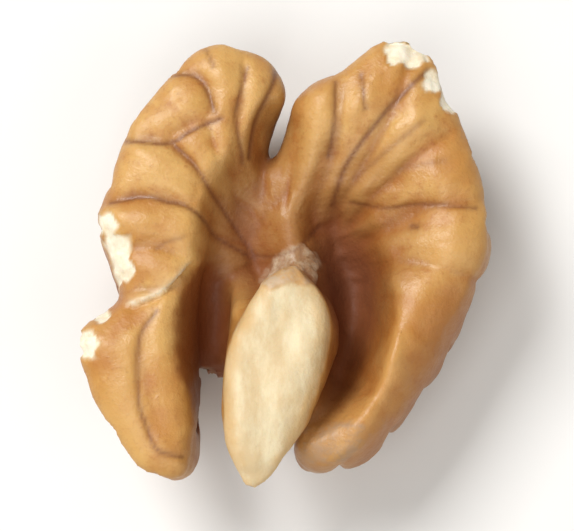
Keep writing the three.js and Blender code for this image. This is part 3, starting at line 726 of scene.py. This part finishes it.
def vein_closeness(places):
    """From 0 away from every vein to 1 on the middle of a strong one, for the veins and for their stains."""
    vein = np.zeros(len(places))
    stain = np.zeros(len(places))
    for pixels, half_width, strength in VEINS:
        line = smooth_line(from_pixels(pixels), CURVE_STEPS)
        distance = line_distance(places, line) / half_width
        vein = np.maximum(vein, strength * np.exp(-distance ** 2))
        stain = np.maximum(stain, strength * np.exp(-(distance / STAIN_WIDTH) ** 2))
    return vein, stain


def chip_cover(places, wobble):
    """1 where the skin is broken off a rim and the flesh shows, 0 elsewhere."""
    cover = np.zeros(len(places))
    for x, y, radius in CHIPS:
        away = np.linalg.norm(places - pixel_place((x, y)), axis=1)
        edge = radius * PIXEL * (1 + WOBBLE["chips"] * wobble) - away
        cover = np.maximum(cover, ease(*FADE["chip_gap"], edge))
    return cover


def side_shade_cover(places, wobble):
    """1 on the side of the lower left block that is painted in shade."""
    gap = outline_distance(places, pixel_outline(SHADED_SIDE))
    return ease(*FADE["side_gap"], gap + WOBBLE["side"] * wobble)


def film_cover(places, pixels, middle, fine):
    """1 inside a ragged outline given as pixels, 0 outside it."""
    gap = outline_distance(places, pixel_outline(pixels))
    return ease(*FADE["film_gap"], gap + WOBBLE["film_middle"] * middle + WOBBLE["film_fine"] * fine)


def shade_cover(places):
    """1 in the middle of a strong shade, 0 away from all of them."""
    cover = np.zeros(len(places))
    for x, y, radius, strength in SHADES:
        away = np.linalg.norm(places - pixel_place((x, y)), axis=1)
        cover = np.maximum(cover, strength * np.exp(-(away / radius) ** 2))
    return cover


def beside_line(places, pixels):
    """Signed distance to a line, positive on its left, and a share that fades to 0 at the line's ends."""
    line = smooth_line(from_pixels(pixels), FLAKE_STEPS)
    distance = np.full(len(places), 1e9)
    signed = np.zeros(len(places))
    share = np.zeros(len(places))
    for i, (a, b) in enumerate(zip(line[:-1], line[1:])):
        d, t = to_segment(places, a, b)
        side = (b[0] - a[0]) * (places[:, 1] - a[1]) - (b[1] - a[1]) * (places[:, 0] - a[0])
        nearer = d < distance
        distance = np.where(nearer, d, distance)
        signed = np.where(nearer, np.sign(side) * d, signed)
        share = np.where(nearer, (i + t) / (len(line) - 1), share)
    return signed, ease(*LINE_ENDS[0], share) * ease(*LINE_ENDS[1], share)


def noise_of(name, points):
    """One of the named noises at points."""
    spacing, seed = NOISE[name]
    return lattice_noise(points, spacing, seed)


def rib_noise(turn, away):
    """Noise drawn out along the ribs, which all run away from one place."""
    value = np.zeros(len(turn))
    for name, strength, stretch in RIB_NOISES:
        drawn = np.stack([turn * RIB_TURN, away * stretch, 0 * away], axis=1)
        value = value + strength * noise_of(name, drawn)
    return value


def skin_marks(vertices, quads, normals):
    """How much of each mark of the skin every vertex has, with the noises that its relief needs."""
    places, z = vertices[:, :2], vertices[:, 2]
    plan = plan_at(places)
    tongue_gap = plan["tongue"] + TONGUE_SIDE["inset"]
    coarse, middle, fine = (noise_of(name, vertices) for name in ("coarse", "middle", "fine"))
    wobble = WOBBLE["middle"] * middle + WOBBLE["fine"] * fine
    # where the photograph shows each place, which it moves by how high the place is
    shown = places + np.stack([0 * z, LEAN_BACK * (z - RIM_Z / 2)], axis=1)

    upward = ease(*FADE["up"], normals[:, 2])
    outward = (1 - upward) * ease(*FADE["out"], normals[:, 2]) * ease(*FADE["under_rim"], z)
    first, second = roll_shares(vertices)
    crease = outward * np.exp(-(second / first - 1) / CREASE_WIDTH)

    # how far each place lies in a fold, over about a millimetre, for the painted shade in folds and painted
    # highlight on bulges
    smooth = edge_neighbours(vertices, quads, vertices, RELIEF_SHADING["rounds"])
    hollow = np.einsum("ij,ij->i", smooth - vertices, normals)
    hollow = edge_neighbours(vertices, quads, hollow[:, None], RELIEF_SHADING["soften"])[:, 0]

    vein, stain = vein_closeness(shown)
    face = upward * ease(*FADE["vein_gap"], tongue_gap) * ease(*FADE["vein_depth"], z)
    tongue = ease(*FADE["tongue_gap"], tongue_gap + WOBBLE["tongue"] * wobble)
    tongue = tongue * ease(*FADE["tongue_depth"], z)
    chips = chip_cover(shown, wobble) * (1 - tongue)
    chips = chips * ease(*FADE["chip_depth"], z + WOBBLE["chips"] * wobble)
    signed, ends = beside_line(shown, FLAKE)
    flake_low = ends * np.exp(-np.maximum(-signed, 0) / FLAKE_WIDTH["low"])
    flake_low = flake_low * ease(*FADE["flake_low"], signed) * upward
    flake_rim = ends * ease(*FADE["flake_rim"], signed)
    flake_rim = flake_rim * np.exp(-np.abs(signed) / FLAKE_WIDTH["rim"]) * upward
    film, residue = (film_cover(shown, pixels, middle, fine) * upward * ease(*FADE["film_depth"], z)
                     for pixels in (ROOT_FILM, LOW_RESIDUE))
    # painted shade on the side of the lower left block, down to the cleft
    side = side_shade_cover(shown, wobble) * (1 - outward) * (1 - tongue)

    hub = pixel_place(RIB_HUB)
    away = np.linalg.norm(places - hub, axis=1)
    turn = np.arctan2(places[:, 0] - hub[0], places[:, 1] - hub[1])
    ribs = rib_noise(turn, away) * (upward * ease(*FADE["ribs"], away) * (1 - tongue))
    depth = np.clip((DEEP_SHADE["top"] - z) / DEEP_SHADE["depth"], 0, 1)

    return {
        # for the relief alone; the upper right lobe has the boldest ribs
        "coarse": coarse,
        "middle": middle,
        "fine": fine,
        "rib_noise": ribs,
        "fan": ease(*FADE["fan_x"], places[:, 0]) * ease(*FADE["fan_y"], places[:, 1]),
        "film_grain": noise_of("film", np.stack([turn, away, z], axis=1) * FILM_STRETCH),
        "tongue": tongue,
        "flake_low": flake_low,
        "flake_rim": flake_rim,
        "chips": chips,
        # for the colours too
        "vein": vein * face,
        "stain": stain * face,
        "crease": crease,
        "hollow": np.clip(0.5 + hollow / RELIEF_SHADING["full"], 0, 1),
        # painted shade that darkens the deep parts
        "well": depth ** DEEP_SHADE["power"] * (1 - outward),
        "outward": outward,
        "flesh": np.maximum(chips, np.maximum(tongue, flake_rim)) * (1 - film),
        # the torn edge's pale rim is painted chip white, partly as bare flesh and partly as a painted
        # highlight
        "chip": np.maximum(chips, flake_rim),
        "tongue_edge": tongue * ease(*FADE["tongue_edge"], tongue_gap + WOBBLE["tongue_edge"] * wobble),
        "shade": shade_cover(shown) * ease(*FADE["shade_depth"], z) * (1 - outward),
        "side": side * ease(*FADE["off_tongue"], plan["tongue"]),
        "film": film,
        "residue": residue,
        "ribs": np.clip(0.5 + 0.5 * ribs, 0, 1),
        "open": open_side(places) * ease(*FADE["open_x"], places[:, 0]),
    }


def skin_lift(vertices, marks):
    """Fine relief along the normals. The bare tongue has lumps and lengthwise streaks instead of wrinkles."""
    lift = LIFT["coarse"] * marks["coarse"] + LIFT["middle"] * marks["middle"] + LIFT["fine"] * marks["fine"]
    lift += (LIFT["ribs"] + LIFT["fan_ribs"] * marks["fan"]) * marks["rib_noise"]
    lift *= 1 - LIFT["tongue_calm"] * marks["tongue"]
    lift += marks["outward"] * LIFT["outer"] * marks["middle"]
    lift -= LIFT["vein"] * marks["vein"] + LIFT["stain"] * marks["stain"]
    lift -= LIFT["chips"] * marks["chips"] * (1 + LIFT["chip_grain"] * marks["fine"])
    dry = marks["film"] + LIFT["residue_share"] * marks["residue"]
    lift += dry * (LIFT["film"] + LIFT["film_grain"] * marks["film_grain"])
    lift -= LIFT["flake_low"] * marks["flake_low"]
    lift += LIFT["flake_rim"] * marks["flake_rim"]
    bare = LIFT["tongue_streaks"] * noise_of("streaks", vertices * STREAK_STRETCH)
    bare += LIFT["tongue_lumps"] * noise_of("lumps", vertices * LUMP_STRETCH)
    bare += LIFT["tongue_fine"] * marks["fine"]
    bare += LIFT["tongue_middle"] * marks["middle"]
    lift += marks["tongue"] * bare
    lift -= LIFT["crease"] * marks["crease"]
    return lift


def kernel_shape():
    """Vertices, quads and the marks of the skin."""
    size = [int(math.ceil((GRID_HIGH[axis] - GRID_LOW[axis]) / CELL)) + 1 for axis in range(3)]
    values = kernel_values(GRID_LOW, CELL, size)
    vertices, quads = largest_part(*surface_net(values, GRID_LOW, CELL))
    normals = vertex_normals(vertices, quads)
    marks = skin_marks(vertices, quads, normals)
    flat = ease(*FADE["foot"], vertices[:, 2] - FOOT_Z)
    vertices = vertices + normals * (skin_lift(vertices, marks) * (1 - flat))[:, None]
    vertices[:, 2] = np.maximum(vertices[:, 2], FOOT_Z)
    return vertices, quads, marks


def followed_marks():
    """Names of the marks that the material reads."""
    names = {layer[0] for layer in SKIN_LAYERS + FLESH_LAYERS + SKIN_PATCHES + FLESH_PATCHES}
    names.update(LEAST_ROUGHNESS)
    return sorted(names.difference(SKIN_NOISES))


def make_kernel(low, high):
    """The kernel as a mesh, with the middle of its box over the CAD's and its foot at the CAD's."""
    vertices, quads, marks = kernel_shape()
    middle = (vertices.min(0) + vertices.max(0)) / 2
    vertices = (vertices - (middle[0], middle[1], FOOT_Z)) * MM
    vertices += ((low.x + high.x) / 2, (low.y + high.y) / 2, low.z)
    mesh = bpy.data.meshes.new("kernel")
    mesh.from_pydata(vertices.tolist(), [], quads.tolist())
    mesh.shade_smooth()
    for name in followed_marks():
        attribute = mesh.attributes.new(name, "FLOAT", "POINT")
        attribute.data.foreach_set("value", marks[name].astype(np.float32))
    kernel = bpy.data.objects.new("kernel", mesh)
    bpy.context.scene.collection.objects.link(kernel)
    return kernel


# Materials


class Nodes:
    """Short calls for the nodes of one material."""

    def __init__(self, name):
        self.material = bpy.data.materials.new(name)
        self.material.use_nodes = True
        self.tree = self.material.node_tree
        self.shader = self.tree.nodes["Principled BSDF"]

    def link(self, value, socket):
        """Join a value to a socket, or set it there if it is a plain number or colour."""
        if isinstance(value, bpy.types.NodeSocket):
            self.tree.links.new(value, socket)
        else:
            socket.default_value = value

    def mark(self, name):
        """What the mesh carries under a name."""
        node = self.tree.nodes.new("ShaderNodeAttribute")
        node.attribute_name = name
        return node.outputs["Fac"]

    def noise(self, scale, detail, roughness=0.55, stretch=None):
        node = self.tree.nodes.new("ShaderNodeTexNoise")
        node.inputs["Scale"].default_value = scale
        node.inputs["Detail"].default_value = detail
        node.inputs["Roughness"].default_value = roughness
        coordinates = self.tree.nodes.new("ShaderNodeTexCoord")
        place = coordinates.outputs["Object"]
        if stretch:
            mapping = self.tree.nodes.new("ShaderNodeMapping")
            mapping.inputs["Scale"].default_value = stretch
            self.link(place, mapping.inputs["Vector"])
            place = mapping.outputs["Vector"]
        self.link(place, node.inputs["Vector"])
        return node.outputs["Fac"]

    def math(self, operation, a, b):
        node = self.tree.nodes.new("ShaderNodeMath")
        node.operation = operation
        self.link(a, node.inputs[0])
        self.link(b, node.inputs[1])
        return node.outputs[0]

    def remap(self, value, start, end, low, high):
        node = self.tree.nodes.new("ShaderNodeMapRange")
        for name, number in (("From Min", start), ("From Max", end), ("To Min", low), ("To Max", high)):
            node.inputs[name].default_value = number
        self.link(value, node.inputs["Value"])
        return node.outputs["Result"]

    def mix(self, factor, a, b):
        node = self.tree.nodes.new("ShaderNodeMix")
        node.data_type = "RGBA"
        self.link(factor, node.inputs[0])
        self.link(a, node.inputs[6])
        self.link(b, node.inputs[7])
        return node.outputs[2]

    def bump(self, height, distance, strength, normal=None):
        node = self.tree.nodes.new("ShaderNodeBump")
        node.inputs["Distance"].default_value = distance
        node.inputs["Strength"].default_value = strength
        self.link(height, node.inputs["Height"])
        if normal:
            self.link(normal, node.inputs["Normal"])
        return node.outputs["Normal"]


def skin_material():
    n = Nodes("kernel_skin")
    noises = {name: n.noise(*settings) for name, settings in SKIN_NOISES.items()}

    def paint(colour, layers, patches):
        """Lay colours over one another."""
        for name, start, end, most, tint in layers:
            value = noises[name] if name in noises else n.mark(name)
            colour = n.mix(n.remap(value, start, end, 0, most), colour, tint)
        for name, start, end, least, most, tint in patches:
            broken = n.remap(noises["mottle"], start, end, least, most)
            colour = n.mix(n.math("MULTIPLY", n.mark(name), broken), colour, tint)
        return colour

    skin = paint(TAN, SKIN_LAYERS, SKIN_PATCHES)
    flesh = paint(CREAM, FLESH_LAYERS, FLESH_PATCHES)
    n.link(n.mix(n.mark("flesh"), skin, flesh), n.shader.inputs["Base Color"])

    rough = n.remap(noises["mottle"], *ROUGHNESS)
    for name, least in LEAST_ROUGHNESS.items():
        rough = n.math("MAXIMUM", rough, n.math("MULTIPLY", n.mark(name), least))
    n.link(rough, n.shader.inputs["Roughness"])
    wrinkles = n.bump(noises["mottle"], *MOTTLE_BUMP)
    n.link(n.bump(noises["grain"], *GRAIN_BUMP, wrinkles), n.shader.inputs["Normal"])
    for name, value in SKIN_SOCKETS.items():
        n.shader.inputs[name].default_value = value
    return n.material


def floor_material():
    n = Nodes("pale_floor")
    speckle = n.noise(FLOOR["noise_scale"], FLOOR["noise_detail"])
    n.link(n.mix(speckle, FLOOR["dull"], FLOOR["pale"]), n.shader.inputs["Base Color"])
    n.link(n.remap(speckle, *FLOOR["roughness"]), n.shader.inputs["Roughness"])
    return n.material


# Floor, light and camera


def place_facing(thing, azimuth, elevation, distance, target):
    """Put a light or camera at a distance from the target and aim it there; azimuth 0 is in front."""
    a, e = math.radians(azimuth), math.radians(elevation)
    back = Vector((math.sin(a) * math.cos(e), -math.cos(a) * math.cos(e), math.sin(e)))
    thing.location = Vector(target) + back * distance
    thing.rotation_mode = "QUATERNION"
    thing.rotation_quaternion = (Vector(target) - thing.location).to_track_quat("-Z", "Y")
    bpy.context.scene.collection.objects.link(thing)


def make_floor():
    half = FLOOR["half"]
    corners = [(-half, -half, 0), (half, -half, 0), (half, half, 0), (-half, half, 0)]
    mesh = bpy.data.meshes.new("floor")
    mesh.from_pydata(corners, [], [(0, 1, 2, 3)])
    floor = bpy.data.objects.new("floor", mesh)
    bpy.context.scene.collection.objects.link(floor)
    mesh.materials.append(floor_material())


def make_camera(target):
    data = bpy.data.cameras.new("camera")
    for name in ("lens", "clip_start", "clip_end"):
        setattr(data, name, CAMERA[name])
    camera = bpy.data.objects.new("camera", data)
    place_facing(camera, CAMERA["azimuth"], CAMERA["elevation"], CAMERA["distance"], target)
    bpy.context.scene.camera = camera


def light_scene(target):
    for name, azimuth, elevation, distance, size, power in LIGHTS:
        data = bpy.data.lights.new(name, "AREA")
        data.size = size
        data.energy = power
        place_facing(bpy.data.objects.new(name, data), azimuth, elevation, distance, target)
    world = bpy.data.worlds.new("studio")
    world.use_nodes = True
    background = world.node_tree.nodes["Background"]
    background.inputs["Color"].default_value = WORLD["colour"]
    background.inputs["Strength"].default_value = WORLD["strength"]
    bpy.context.scene.world = world
    bpy.context.scene.view_settings.view_transform = "Standard"


low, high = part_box("walnut_kernel")
kernel = make_kernel(low, high)
kernel.data.materials.append(skin_material())
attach(kernel, "root")
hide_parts("walnut_kernel")

make_floor()
look_at = ((low.x + high.x) / 2, (low.y + high.y) / 2, high.z * AIM_HEIGHT)
make_camera(look_at)
light_scene(look_at)
